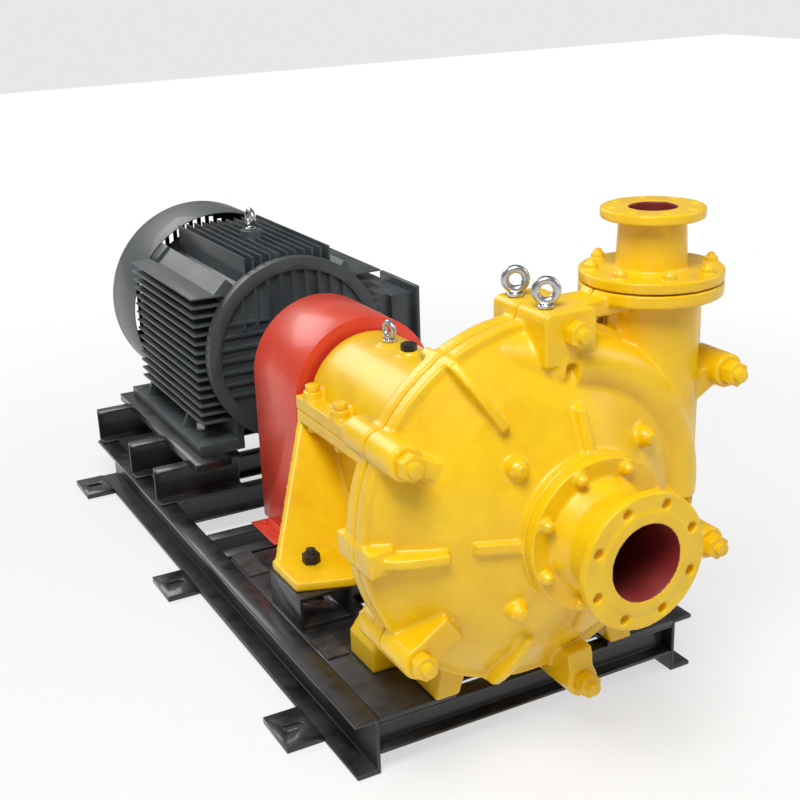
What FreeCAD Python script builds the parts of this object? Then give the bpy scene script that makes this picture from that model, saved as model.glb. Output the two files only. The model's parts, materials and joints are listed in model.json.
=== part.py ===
import FreeCAD, Part
import math
import os

os.makedirs("parts", exist_ok=True)

# Motor-driven slurry pump on a common base. Millimetres.
# +X is to the right seen from the suction end, -Y points out of the suction flange, +Z is up.
# The origin is on the floor at the centre of the foundation bolt pattern.
# Pump and guard sizes along Y count from the casing split plane, motor sizes from the rear end of the
# coupling, and base sizes from the origin. Heights count from the shaft axis, base heights from the floor.

# ---- Layout ----
shaft_height = 564.0          # shaft axis above the floor
split_y = -1071.0             # plane between the two casing halves, and the discharge axis
casing_gap = 4.0              # open joint between the casing halves
fit_gap = 0.3                 # between curved faces that must not touch
bore_play = 0.05              # radial clearance of running fits
beyond = 2000.0               # past every face of the unit, for blocks and drills that trim or go through

# ---- Suction side ----
suction_bore_r = 80.0
suction_flange_r = 142.5
suction_flange_t = 26.0
suction_pcd_r = 120.0
suction_hole_r = 11.0
suction_hole_count = 8
suction_face_r = 106.0
suction_face_h = 3.0
suction_reach = 364.0
suction_neck_r = 106.0
suction_root_r = 124.0        # the neck widens to this at its plate
suction_flare = 40.0
suction_plate_t = 28.0
suction_stud_pcd_r = 146.0
suction_stud_r = 8.0
suction_stud_count = 8
suction_nut = 26.0
suction_nut_h = 14.0

# ---- Discharge side ----
discharge_x = 282.0
discharge_bore_r = 50.0
discharge_flange_r = 110.0
discharge_flange_t = 22.0
discharge_pcd_r = 90.0
discharge_hole_r = 9.0
discharge_hole_count = 8
discharge_top = 596.0
discharge_neck_r = 71.0
discharge_root_r = 76.0
discharge_plate_r = 153.5
discharge_plate_t = 23.0
discharge_plate_top = 467.0
discharge_stud_pcd_r = 130.0
discharge_stud_r = 8.0
discharge_stud_count = 8
discharge_nut = 28.0
discharge_nut_h = 14.0
gasket_t = 3.5
casing_flange_t = 29.0
branch_r = 106.0
branch_foot = -20.0
branch_wall = 18.0
branch_lip_r = 113.0          # thickened lower edge of the branch
branch_lip_h = 14.0
strip_r = 127.0               # half width of the bolting strips along the branch
strip_depth = 22.0
bar_low_z = 390.0             # bar between the top lug and the discharge flange
bar_high_z = 430.0
bar_depth = 45.0

# ---- Casing ----
rim_x = -40.0
rim_z = 8.0
rim_r = 403.0
rim_depth = 37.0
shoulder_r = 384.0
dome_mid_r = 300.0
dome_mid_depth = 104.0
dome_depth = 171.0
dome_end_r = 165.0
drum_r = 345.0                # stepped hollow that holds the volute liner
drum_depth = 52.0
inner_drum_r = 288.0
inner_drum_depth = 88.0
side_seat_depth = 118.0       # where the side liners seat
hub_seat_r = 150.0
hub_seat_depth = 156.0
boss_face = 191.0
boss_bore_r = 100.0
rear_boss_r = 200.0
rear_face = 175.0
clamp_bolt_r = 15.0
clamp_nut = 50.0
clamp_nut_h = 27.0
clamp_head_h = 20.0
clamp_stud_end = 42.0
clamp_boss_r = 38.0
clamp_reach = 113.0
clamp_rear_reach = 96.0
clamp_places = [(395.0, 89.0), (428.0, 152.0), (431.0, 213.0), (411.0, 276.0), (420.0, 337.0), (477.0, 30.0)]
clamp_web_half = [0.0, 20.0, 34.0, 31.0, 27.0, 27.0]
clamp_web_share = [0.0, 0.84, 1.0, 0.97, 0.8, 0.72]    # web depth as a share of the boss's reach
lug_root_r = 330.0
rib_angles = [119.6, 183.5, 253.8, 310.7]              # about the rim's centre
rib_t = 22.0
rib_out_depth = 60.0
rib_mid_r = 335.0
rib_mid_depth = 113.0
rib_in_r = 262.0
rib_in_depth = 141.0
rim_lug_angle = 183.5
rim_lug_half = 27.0
rim_lug_root_r = 350.0
rim_lug_depth = 76.0
gusset_t = 24.0
gusset_r = 248.0
gusset_depth = 151.0
liner_stud_pcd_r = 222.0
liner_stud_count = 4
liner_boss_r = 22.0
liner_boss_face = 164.0
liner_nut = 28.0
liner_nut_h = 14.0
bulge_r = 316.0                                        # outside of the volute passage, seen on the front
bulge_tube_r = 64.0
bulge_depth = 60.0
bulge_start = -6.0
bulge_end = 84.0
bulge_runout = 150.0
bulge_sink_low = 0.36                                  # slope of each end towards the split plane
bulge_sink_high = 0.5
top_lug_half = 62.0
top_lug_top = 441.0
top_lug_depth = 112.0
top_lug_rear = 85.0
top_lug_corner = 18.0
foot_x0 = 205.0
foot_x1 = 330.0
casing_foot_y0 = 172.0
casing_foot_y1 = 291.0
casing_foot_h = 120.0
strut_drop = 250.0
strut_foot_w = 60.0
strut_top_out = 20.0
strut_top_in = 60.0
strut_tuck = 40.0
foot_toe_h = 62.0
foot_toe_slope = 46.0
foot_heel_rise = 40.0

top_eye_x = -30.0
top_eye_y = 65.0
top_eye_rear_y = 45.0
eye_shank_r = 12.0
eye_shank_len = 24.0
top_eye_turn = 62.0
cap_eye_turn = 10.0
motor_eye_turn = 0.0
eye_ring_r = 21.5
eye_wire_r = 8.5
eye_collar_r = 17.0
eye_collar_h = 8.0
cap_eye_shank_r = 10.0
cap_eye_pad_r = 30.0
cap_eye_pad_h = 5.0
cap_eye_ring_r = 19.0
cap_eye_wire_r = 7.0
motor_eye_ring_r = 23.0
motor_eye_wire_r = 8.5

# ---- Wet end ----
chamber_x = -30.0
chamber_z = 6.0
chamber_r = 305.0
chamber_half = 40.0
side_liner_r = 236.0
impeller_r = 230.0
impeller_play = 1.5
shroud_t = 13.0
impeller_eye_r = 78.0
vane_count = 5
vane_t = 16.0
impeller_hub_r = 62.0

# ---- Shaft and seal ----
shaft_nose_r = 32.0
sleeve_seat_r = 36.0
sleeve_r = 45.0
sleeve_end = 345.0
bearing_seat_r = 45.0
shaft_end_r = 37.5
box_r = 92.0
box_flange_r = 140.0
box_flange_t = 14.0
box_end = 262.0
box_throat = 110.0
packing_r = 60.0
packing_len = 64.0
gland_t = 16.0
gland_stud_x = 76.0
gland_stud_r = 7.0
gland_nut = 24.0
gland_nut_h = 12.0
gland_air = 14.0              # between the box and the gland's plate
gland_stud_in = 28.0
gland_ear_end = 18.0
gland_ear_half = 24.0
gland_travel = 30.0

# ---- Bearing bracket ----
housing_front = 425.0
housing_rear = 805.0
housing_r = 172.0
housing_bore_r = 100.0
bearing_t = 55.0
bearing_inset = 30.0
cover_r = 140.0
cover_t = 18.0
flange_half = 212.0
flange_up = 36.0
flange_down = 33.0
foot_drop = 335.0
foot_t = 24.0
foot_half = 385.0
foot_front = 420.0
foot_rear = 612.0
foot_corner = 135.0
foot_corner_y = 46.0
foot_bolt_x = 303.0
foot_bolt_y = 552.0
foot_bolt_r = 12.0
foot_nut = 40.0
foot_nut_h = 24.0
foot_stud_end = 36.0
foot_head = 38.0
foot_head_h = 15.0
foot_head_drop = 25.0         # head's lower face under the foot
foot_bolt_drop = 34.0
leg_t = 22.0
body_half = 140.0
adapter_r = 205.0
adapter_t = 22.0
cap_bolt_x = 186.0
cap_bolt_ys = [587.0, 748.0]
cap_bolt_r = 11.0
cap_bolt_hex = 34.0
cap_head_h = 16.0
cap_nut_h = 18.0
cap_bolt_end = 20.0
cap_boss_r = 26.0
cap_boss_h = 60.0
eye_y = 673.0
breather_y = 570.0
breather_r = 12.0
breather_hex = 36.0
breather_hex_h = 18.0
breather_plug_in = 16.0
breather_pad_r = 26.0
breather_pad_h = 9.0

# ---- Coupling ----
coupling_start = 945.0
coupling_len = 116.0
coupling_gap = 4.0
coupling_r = 112.0
coupling_hub_r = 68.0
pump_flange_t = 28.0
motor_flange_t = 50.0
pin_pcd_r = 84.0
pin_count = 6
pin_r = 9.0
pin_nut = 28.0
pin_nut_h = 14.0
bush_r = 17.0

# ---- Guard ----
guard_half = 204.0
guard_front = 825.0
guard_rear = 1110.0
guard_t = 3.0
guard_opening_r = 150.0
guard_foot = 57.0
guard_bolt = 18.0
guard_bolt_h = 9.0
guard_foot_front = 903.0
guard_foot_rear = 1074.0
guard_bolt_in = 34.0

# ---- Base ----
base_height = 140.0
rail_front = -1056.0
rail_rear = 894.0
rail_inner = 397.0
rail_outer = 455.0
rail_web_t = 9.0
rail_flange_t = 11.0
tab_out = 545.0
tab_len = 140.0
tab_t = 16.0
tab_pitch = 815.0
slot_x = 500.0
slot_r = 11.0
slot_len = 50.0
sole_in = 205.0
sole_rear = -180.0
sole_t = 12.0
sole_clear = 10.0             # ahead of the rails, of the relief under the rear casing
sole_relief = 3.0             # above the low cross members, of the same relief
cross_h = 80.0
cross_w = 43.0
cross_wall = 8.0
low_cross_places = [-900.0, -640.0, -440.0, -223.0]
high_cross_places = [-163.0, -45.0, 250.0, 494.0]
pedestal_in = 250.0
pedestal_wall = 10.0
pedestal_access_r = 26.0
shim_in = 335.0
shim_out = 391.0
shim_t = 4.0
shim_places = [(284.0, 96.0), (763.0, 138.0)]          # from the split plane, with their lengths

# ---- Motor ----
motor_height = 290.0
motor_foot_x = 254.0
motor_foot_front = 270.0
motor_foot_pitch = 445.0
motor_foot_in = 175.0
motor_foot_out = 316.0
motor_foot_t = 33.0
motor_foot_bolt_r = 12.0
motor_foot_ahead = 146.0
motor_foot_behind = 65.0
foot_rib_in = 40.0
foot_rib_t = 16.0
motor_nut = 36.0
motor_nut_h = 18.0
motor_washer_r = 22.0
motor_face = 82.0
motor_ring_r = 278.0
motor_ring_in_r = 242.0
motor_ring_t = 34.0
motor_body_r = 246.0
motor_hub_r = 94.0
shield_recess = 14.0
shield_rib_pitch = 40.0
shield_rib_t = 8.0
motor_eye_y = 395.0
motor_eye_seat = 306.0
motor_eye_boss_r = 34.0
fin_root = 200.0
fin_top = 288.0
fin_side = 303.0
fin_t = 5.0
fin_pitch = 27.0
top_fin_count = 11
side_fin_count = 15
fan_cover_r = 311.0
fan_cover_front = 687.0
fan_cover_rear = 965.0
fan_cover_corner = 38.0
fan_cover_t = 3.0
fan_cover_gap = 3.0            # between the fan cover and the motor feet
cover_lug_in = 22.0            # how far the frame's corner lugs reach into the fan cover
grille_r = 255.0
grille_slots = 16
grille_pitch = 30.0
grille_slot_w = 15.0
motor_shaft_r = 40.0
motor_journal_r = 45.0
fan_seat_r = 35.0
motor_shoulder = 54.0
motor_shaft_len = 170.0
fan_r = 265.0
fan_hub_r = 70.0
fan_y = 740.0
fan_depth = 65.0
fan_blade_count = 8
bar_in = 240.0
bar_out = 350.0
bar_h = 24.0
riser_in = 180.0
riser_w = 45.0
riser_wall = 7.0
riser_places = [140.0, 384.0, 739.0]
bar_front = 70.0
bar_rear = 825.0
box_y0 = 306.0
box_y1 = 514.0
box_x0 = 430.0
box_x1 = 510.0
box_low = -165.0
box_high = 48.0
box_neck_drop = 95.0
box_wall = 8.0
lid_t = 16.0
lid_edge = 25.0

up = FreeCAD.Vector(0, 0, 1)
along = FreeCAD.Vector(0, 1, 0)
right = FreeCAD.Vector(1, 0, 0)


# ---- Helpers ----
def vec(x, y, z):
    return FreeCAD.Vector(x, y, z)


def pump_y(offset):
    return split_y + offset


def motor_y(offset):
    return pump_y(coupling_start + 2 * coupling_len + coupling_gap + offset)


def height(offset):
    return shaft_height + offset


def cyl_y(radius, y0, y1, x=0.0, z=shaft_height):
    return Part.makeCylinder(radius, y1 - y0, vec(x, y0, z), along)


def cyl_z(radius, z0, z1, x=0.0, y=0.0):
    return Part.makeCylinder(radius, z1 - z0, vec(x, y, z0), up)


def cyl_x(radius, x0, x1, y=0.0, z=shaft_height):
    return Part.makeCylinder(radius, x1 - x0, vec(x0, y, z), right)


def block(x0, x1, y0, y1, z0, z1):
    return Part.makeBox(x1 - x0, y1 - y0, z1 - z0, vec(x0, y0, z0))


def tube_y(outer, inner, y0, y1, x=0.0, z=shaft_height):
    return cyl_y(outer, y0, y1, x, z).cut(cyl_y(inner, y0 - 1, y1 + 1, x, z))


def polar(radius, angle):
    turn = math.radians(angle)
    return radius * math.cos(turn), shaft_height + radius * math.sin(turn)


def ring_places(radius, count, phase):
    return [polar(radius, phase + 360.0 * i / count) for i in range(count)]


def hexagon(across, length, place, axis, turn=30.0):
    corner = across / math.sqrt(3)
    points = []
    for i in range(7):
        a = math.radians(60 * i + turn)
        points.append(vec(corner * math.cos(a), corner * math.sin(a), 0))
    prism = Part.Face(Part.makePolygon(points)).extrude(vec(0, 0, length))
    prism.Placement = FreeCAD.Placement(place, FreeCAD.Rotation(up, axis))
    return prism


def revolve_y(profile, x=0.0, z=shaft_height):
    """Solid of revolution about a line along Y, from (y, radius) points."""
    points = [vec(x + radius, y, z) for y, radius in profile]
    face = Part.Face(Part.makePolygon(points + points[:1]))
    return face.revolve(vec(x, 0, z), along, 360)


def prism_x(points, x0, x1):
    """Prism along X from (y, z) points."""
    outline = [vec(x0, y, z) for y, z in points]
    return Part.Face(Part.makePolygon(outline + outline[:1])).extrude(vec(x1 - x0, 0, 0))


def prism_y(points, y0, y1):
    """Prism along Y from (x, z) points."""
    outline = [vec(x, y0, z) for x, z in points]
    return Part.Face(Part.makePolygon(outline + outline[:1])).extrude(vec(0, y1 - y0, 0))


def prism_z(points, z0, z1):
    """Prism along Z from (x, y) points."""
    outline = [vec(x, y, z0) for x, y in points]
    return Part.Face(Part.makePolygon(outline + outline[:1])).extrude(vec(0, 0, z1 - z0))


def turned(shape, angle, x=0.0, z=0.0):
    """The shape turned about a line along Y, the shaft axis if nothing else is given, from angle 0 on +X."""
    copy = shape.copy()
    copy.rotate(vec(x, 0, height(z)), along, -angle)
    return copy


def round_block(x0, x1, y0, y1, z0, z1, radius):
    """Block with its two upper edges along Y rounded."""
    body = block(x0, x1, y0, y1, z0, z1 - radius).fuse(block(x0 + radius, x1 - radius, y0, y1, z0, z1))
    for x in (x0 + radius, x1 - radius):
        body = body.fuse(cyl_y(radius, y0, y1, x, z1 - radius))
    return body.removeSplitter()


def join(pieces):
    if len(pieces) == 1:
        return pieces[0]
    return pieces[0].multiFuse(pieces[1:]).removeSplitter()


def cut_all(shape, tools):
    for tool in tools:
        shape = shape.cut(tool)
    return shape


def mirror_x(shape):
    return shape.mirror(vec(0, 0, 0), right)


def mirror_split(shape):
    return shape.mirror(vec(0, split_y, 0), along)


def save(name, pieces):
    solids = []
    for piece in pieces:
        solids.extend(piece.Solids)
    good = all(s.isValid() and s.Volume > 0 for s in solids)
    print(f"{name:26s} solids {len(solids):3d}  valid {good}")
    whole = solids[0] if len(solids) == 1 else Part.makeCompound(solids)
    whole.exportStep("parts/" + name + ".step")


# ---- Base ----
def rail():
    """Channel with its web inside and its flanges turned outwards."""
    outer = block(rail_inner, rail_outer, rail_front, rail_rear, 0, base_height)
    hollow = block(rail_inner + rail_web_t, rail_outer + 1, rail_front - 1, rail_rear + 1,
                   rail_flange_t, base_height - rail_flange_t)
    return outer.cut(hollow)


def foundation_tab(y):
    plate = block(rail_outer, tab_out, y - tab_len / 2, y + tab_len / 2, 0, tab_t)
    half = slot_len / 2 - slot_r
    slot = block(slot_x - half, slot_x + half, y - slot_r, y + slot_r, -1, tab_t + 1)
    for end in (-half, half):
        slot = slot.fuse(cyl_z(slot_r, -1, tab_t + 1, slot_x + end, y))
    return plate.cut(slot.removeSplitter())


def cross_member(y, top):
    """Channel across the base, open towards -Y."""
    outer = block(-rail_inner, rail_inner, y, y + cross_w, top - cross_h, top)
    hollow = block(-rail_inner - 1, rail_inner + 1, y - 1, y + cross_w - cross_wall,
                   top - cross_h + cross_wall, top - cross_wall)
    return outer.cut(hollow)


def base_parts():
    right_rail = rail()
    save("base_rail_right", [right_rail])
    save("base_rail_left", [mirror_x(right_rail)])
    tabs = [foundation_tab(y) for y in (-tab_pitch, 0.0, tab_pitch)]
    save("foundation_tabs", tabs + [mirror_x(t) for t in tabs])
    members = [cross_member(rail_front, base_height - sole_t), cross_member(rail_rear - cross_w, base_height)]
    members += [cross_member(y, base_height) for y in high_cross_places]
    members += [cross_member(y, base_height - sole_t) for y in low_cross_places]
    save("base_crossmembers", members)
    sole = block(sole_in, rail_inner, rail_front, sole_rear, base_height - sole_t, base_height)
    save("sole_plates", [sole, mirror_x(sole)])
    plates = []
    for offset, length in shim_places:
        plates.append(block(shim_in, shim_out, pump_y(offset), pump_y(offset + length),
                            base_height, base_height + shim_t))
    save("shim_plates", plates + [mirror_x(p) for p in plates])


def riser(y):
    """Stub of channel standing across the rail, open towards -Y."""
    top = height(-motor_height) - bar_h
    outer = block(riser_in, rail_outer - 8, y, y + riser_w, base_height, top)
    hollow = block(riser_in - 1, rail_outer, y - 1, y + riser_w - riser_wall,
                   base_height + riser_wall, top - riser_wall)
    return outer.cut(hollow)


def motor_foot_ys():
    return motor_y(motor_foot_front), motor_y(motor_foot_front + motor_foot_pitch)


def motor_supports():
    stubs = [riser(motor_y(y)) for y in riser_places]
    save("motor_risers", stubs + [mirror_x(s) for s in stubs])
    top = height(-motor_height)
    bar = block(bar_in, bar_out, motor_y(bar_front), motor_y(bar_rear), top - bar_h, top)
    for y in motor_foot_ys():
        bar = bar.cut(cyl_z(motor_foot_bolt_r + 1, top - bar_h - 1, top + 1, motor_foot_x, y))
    save("motor_slide_bars", [bar, mirror_x(bar)])


def pedestal():
    """Welded stool that raises one bracket foot above the sole plate."""
    top = height(-foot_drop)
    front = pump_y(foot_front)
    rear = pump_y(foot_rear)
    side = block(pedestal_in, rail_inner - 6, front + 12, rear, base_height, top)
    hollow = block(pedestal_in + pedestal_wall, rail_inner - 6 - pedestal_wall, front + 11, rear + 1,
                   base_height + pedestal_wall, top - pedestal_wall)
    side = side.cut(hollow)
    bolt_y = pump_y(foot_bolt_y)
    side = side.cut(cyl_z(pedestal_access_r, base_height - 1, base_height + pedestal_wall + 1, foot_bolt_x,
                          bolt_y))
    return side.cut(cyl_z(foot_bolt_r + 1, top - pedestal_wall - 1, top + 1, foot_bolt_x, bolt_y))


# ---- Casing ----
def disc(radius, offset, x, z):
    centre = vec(x, pump_y(-offset), height(z))
    return Part.Wire(Part.makeCircle(radius, centre, along))


def dome():
    """Body of the front half ahead of the split plane: a rim drum and a skewed two-step cone to the boss."""
    sections = [
        disc(shoulder_r, rim_depth, rim_x, rim_z),
        disc(dome_mid_r, dome_mid_depth, rim_x / 2, rim_z / 2),
        disc(dome_end_r, dome_depth, 0.0, 0.0),
    ]
    body = Part.makeLoft(sections, True, True)
    return body.fuse(cyl_y(shoulder_r, pump_y(-rim_depth), pump_y(0), rim_x, height(rim_z)))


def half_space(side):
    y0, y1 = (-beyond, -casing_gap / 2) if side < 0 else (casing_gap / 2, beyond)
    return block(-beyond, beyond, pump_y(y0), pump_y(y1), -beyond, beyond)


def level_half(way):
    """All that lies above the shaft axis, or with way -1 all that lies below it."""
    z0, z1 = (-beyond, height(0)) if way < 0 else (height(0), beyond)
    return block(-beyond, beyond, -beyond, beyond, z0, z1)


def clamp_lug(place, web_half, web_share, reach):
    """Boss of one clamp bolt on the front side, with the web that ties it to the casing."""
    radius, angle = place
    x, z = polar(radius, angle)
    boss = cyl_y(clamp_boss_r, pump_y(-reach), pump_y(0), x, z)
    web = block(lug_root_r, radius, pump_y(-reach * web_share), pump_y(0), height(-web_half),
                height(web_half))
    return boss.fuse(turned(web, angle))


def plate_from(edges, thickness):
    """Plate standing on a closed outline that lies in the level plane below the shaft axis by half of it."""
    return Part.Face(Part.Wire(edges)).extrude(vec(0, 0, thickness))


def rib(angle):
    """Stiffening rib across the shoulder, with a curved outer edge, set square to the rim."""
    low = height(rim_z - rib_t / 2)

    def spot(r, depth):
        return vec(rim_x + r, pump_y(-depth), low)

    outer = spot(rim_r + 3, rib_out_depth)
    inner = spot(rib_in_r, rib_in_depth)
    base = [inner, spot(rib_in_r - 12, rib_in_depth - 40), spot(rib_in_r - 12, 0), spot(rim_r + 3, 0), outer]
    edges = [Part.makeLine(p, q) for p, q in zip(base, base[1:])]
    edges.append(Part.Arc(outer, spot(rib_mid_r, rib_mid_depth), inner).toShape())
    return turned(plate_from(edges, rib_t), angle, rim_x, rim_z)


def rim_lug():
    """Square lug on the rim at the end of one rib."""
    lug = block(rim_x + rim_lug_root_r, rim_x + rim_r + 5, pump_y(-rim_lug_depth), pump_y(0),
                height(rim_z - rim_lug_half), height(rim_z + rim_lug_half))
    return turned(lug, rim_lug_angle, rim_x, rim_z)


def gusset(angle):
    """Triangular plate between the suction boss and the front face."""
    outline = [(dome_end_r - 10, dome_depth - 30), (gusset_r + 10, dome_mid_depth - 4),
               (gusset_r, gusset_depth),
               (dome_end_r, boss_face - 4), (dome_end_r - 10, boss_face - 4)]
    points = [vec(r, pump_y(-depth), height(-gusset_t / 2)) for r, depth in outline]
    plate = Part.Face(Part.makePolygon(points + points[:1])).extrude(vec(0, 0, gusset_t))
    return turned(plate, angle)


def bulge():
    """Outside of the volute passage: part of a ring, with straight ends that sink into the front face."""
    centre = vec(rim_x / 2, pump_y(-bulge_depth), height(rim_z / 2))
    ring = Part.makeTorus(bulge_r, bulge_tube_r, vec(0, 0, 0), up, -180, 180, bulge_end - bulge_start)
    ring.rotate(vec(0, 0, 0), up, bulge_start)
    ring.rotate(vec(0, 0, 0), right, 90)
    ring.translate(centre)
    pieces = [ring]
    for angle, way, sink in ((bulge_start, -1, bulge_sink_low), (bulge_end, 1, bulge_sink_high)):
        turn = math.radians(angle)
        end = centre + vec(bulge_r * math.cos(turn), 0, bulge_r * math.sin(turn))
        heading = vec(-way * math.sin(turn), sink, way * math.cos(turn))
        pieces.append(Part.makeCylinder(bulge_tube_r, bulge_runout, end, heading))
    inside_rim = cyl_y(rim_r, pump_y(-dome_depth), pump_y(0), rim_x, height(rim_z))
    return [piece.common(inside_rim) for piece in pieces]


def casing_shell(reach, bar_reach):
    """What both halves share, drawn ahead of the split plane."""
    flange_top = discharge_plate_top - discharge_plate_t - gasket_t
    flange_low = flange_top - casing_flange_t
    pieces = [dome()]
    pieces.append(cyl_y(rim_r, pump_y(-rim_depth), pump_y(0), rim_x, height(rim_z)))
    pieces.append(cyl_z(branch_r, height(branch_foot), height(flange_top - 5), discharge_x, split_y))
    pieces.append(cyl_z(branch_lip_r, height(branch_foot), height(branch_foot + branch_lip_h), discharge_x,
                        split_y))
    pieces.append(cyl_z(discharge_plate_r, height(flange_low), height(flange_top), discharge_x, split_y))
    pieces.append(block(discharge_x - strip_r, discharge_x + strip_r, pump_y(-strip_depth), pump_y(0),
                        height(branch_foot), height(flange_low + 5)))
    pieces.append(block(top_lug_half - 5, discharge_x - branch_r / 2, pump_y(-bar_reach), pump_y(0),
                        height(bar_low_z), height(bar_high_z)))
    for place, web_half, web_share in list(zip(clamp_places, clamp_web_half, clamp_web_share))[1:]:
        pieces.append(clamp_lug(place, web_half, web_share, reach))
    pieces += [rib(a) for a in rib_angles]
    pieces.append(rim_lug())
    return pieces


def casing_hollow(gap):
    """The stepped space inside both halves, or with a gap the volute liner's outside."""
    flange_top = discharge_plate_top - discharge_plate_t - gasket_t
    drum = cyl_y(drum_r - gap, pump_y(gap - drum_depth), pump_y(drum_depth - gap), rim_x, height(rim_z))
    inner = cyl_y(inner_drum_r - gap, pump_y(gap - inner_drum_depth), pump_y(inner_drum_depth - gap),
                  rim_x / 2, height(rim_z / 2))
    pipe = cyl_z(branch_r - branch_wall - gap, height(0), height(flange_top), discharge_x, split_y)
    return join([drum, inner, pipe])


def clamp_holes():
    return [cyl_y(clamp_bolt_r + 1, -beyond, beyond, *polar(r, a)) for r, a in clamp_places]


def discharge_stud_places():
    places = []
    for i in range(discharge_stud_count):
        a = math.radians(360.0 * (i + 0.5) / discharge_stud_count)
        places.append((discharge_x + discharge_stud_pcd_r * math.cos(a),
                       split_y + discharge_stud_pcd_r * math.sin(a)))
    return places


def liner_stud_places():
    return ring_places(liner_stud_pcd_r, liner_stud_count, 45.0)


def top_lug_hole(offset):
    top = height(top_lug_top)
    return cyl_z(eye_shank_r + fit_gap, top - eye_shank_len - 1, top + 1, top_eye_x, pump_y(offset))


def casing_front(hollow):
    pieces = casing_shell(clamp_reach, bar_depth)
    pieces += bulge()
    pieces.append(cyl_y(dome_end_r, pump_y(-boss_face), pump_y(-dome_depth + 20)))
    pieces += [gusset(a) for a in (90.0, 180.0, 270.0, 360.0)]
    pieces.append(round_block(-top_lug_half, top_lug_half, pump_y(-top_lug_depth), pump_y(0),
                              height(lug_root_r), height(top_lug_top), top_lug_corner))
    for x, z in liner_stud_places():
        pieces.append(cyl_y(liner_boss_r, pump_y(-liner_boss_face), pump_y(-dome_mid_depth), x, z))
    body = join(pieces).common(half_space(-1)).cut(hollow)
    body = body.cut(cyl_y(side_liner_r, pump_y(-side_seat_depth), pump_y(0)))
    body = body.cut(cyl_y(hub_seat_r, pump_y(-hub_seat_depth), pump_y(0)))
    body = body.cut(cyl_y(boss_bore_r + fit_gap, pump_y(-boss_face - 1), pump_y(-dome_mid_depth)))
    body = cut_all(body, clamp_holes())
    nuts = [hexagon(liner_nut, liner_nut_h, vec(x, pump_y(-liner_boss_face - liner_nut_h), z), along)
            for x, z in liner_stud_places()]
    save("casing_front", [join([body] + nuts).cut(top_lug_hole(-top_eye_y))])


def casing_rear(hollow):
    pieces = [mirror_split(p) for p in casing_shell(clamp_rear_reach, bar_depth)]
    pieces.append(cyl_y(rear_boss_r, pump_y(dome_mid_depth), pump_y(rear_face)))
    pieces.append(round_block(-top_lug_half, top_lug_half, pump_y(0), pump_y(top_lug_rear),
                              height(lug_root_r), height(top_lug_top), top_lug_corner))
    foot = prism_y([(foot_x0, base_height), (foot_x1, base_height), (foot_x1, base_height + foot_toe_h),
                    (foot_x1 - foot_toe_slope, base_height + casing_foot_h),
                    (foot_x0, base_height + casing_foot_h + foot_heel_rise)],
                   pump_y(casing_foot_y0), pump_y(casing_foot_y1))
    strut = prism_y([(foot_x0, base_height), (foot_x0 + strut_foot_w, base_height),
                     (foot_x0 + strut_top_out, height(-strut_drop)),
                     (foot_x0 - strut_top_in, height(-strut_drop))],
                    pump_y(casing_gap), pump_y(casing_foot_y0 + strut_tuck))
    pieces += [foot, strut, mirror_x(foot), mirror_x(strut)]
    body = join(pieces).common(half_space(1)).cut(hollow)
    body = body.cut(cyl_y(side_liner_r, pump_y(0), pump_y(side_seat_depth)))
    body = body.cut(cyl_y(box_r + fit_gap, pump_y(60), pump_y(rear_face + 1)))
    under = block(-sole_in, sole_in, rail_front - sole_clear, rail_rear, 0,
                  base_height - sole_t + sole_relief)
    body = cut_all(body.cut(under), clamp_holes())
    save("casing_rear", [body.cut(top_lug_hole(top_eye_rear_y))])


# ---- Liners and impeller ----
def liners():
    blank = casing_hollow(fit_gap)
    plug = cyl_y(side_liner_r, -beyond, beyond)
    chamber = cyl_y(chamber_r, pump_y(-chamber_half), pump_y(chamber_half), chamber_x, height(chamber_z))
    low = math.radians(-45)
    start = (chamber_x + chamber_r * math.cos(low), height(chamber_z) + chamber_r * math.sin(low))
    wall_out = discharge_x + discharge_bore_r
    wall_in = discharge_x - discharge_bore_r
    throat = prism_y([start, (wall_out, height(60)), (wall_out, height(190)), (wall_in, height(190)),
                      (wall_in, height(0)), (100.0, height(-100))], pump_y(-chamber_half),
                      pump_y(chamber_half))
    bore = cyl_z(discharge_bore_r, height(60), height(discharge_top), discharge_x, split_y)
    save("volute_liner", [cut_all(blank, [plug, chamber, throat, bore])])
    seat = side_seat_depth - fit_gap
    hub = hub_seat_depth - fit_gap
    front = revolve_y([
        (pump_y(-chamber_half), suction_bore_r), (pump_y(-chamber_half), side_liner_r - fit_gap),
        (pump_y(-seat), side_liner_r - fit_gap), (pump_y(-seat), hub_seat_r - fit_gap),
        (pump_y(-hub), hub_seat_r - fit_gap), (pump_y(-hub), boss_bore_r), (pump_y(-boss_face), boss_bore_r),
        (pump_y(-boss_face), suction_bore_r),
    ])
    save("front_liner", [front])
    save("rear_liner", [tube_y(side_liner_r - fit_gap, box_r + fit_gap, pump_y(chamber_half), pump_y(seat))])


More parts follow.
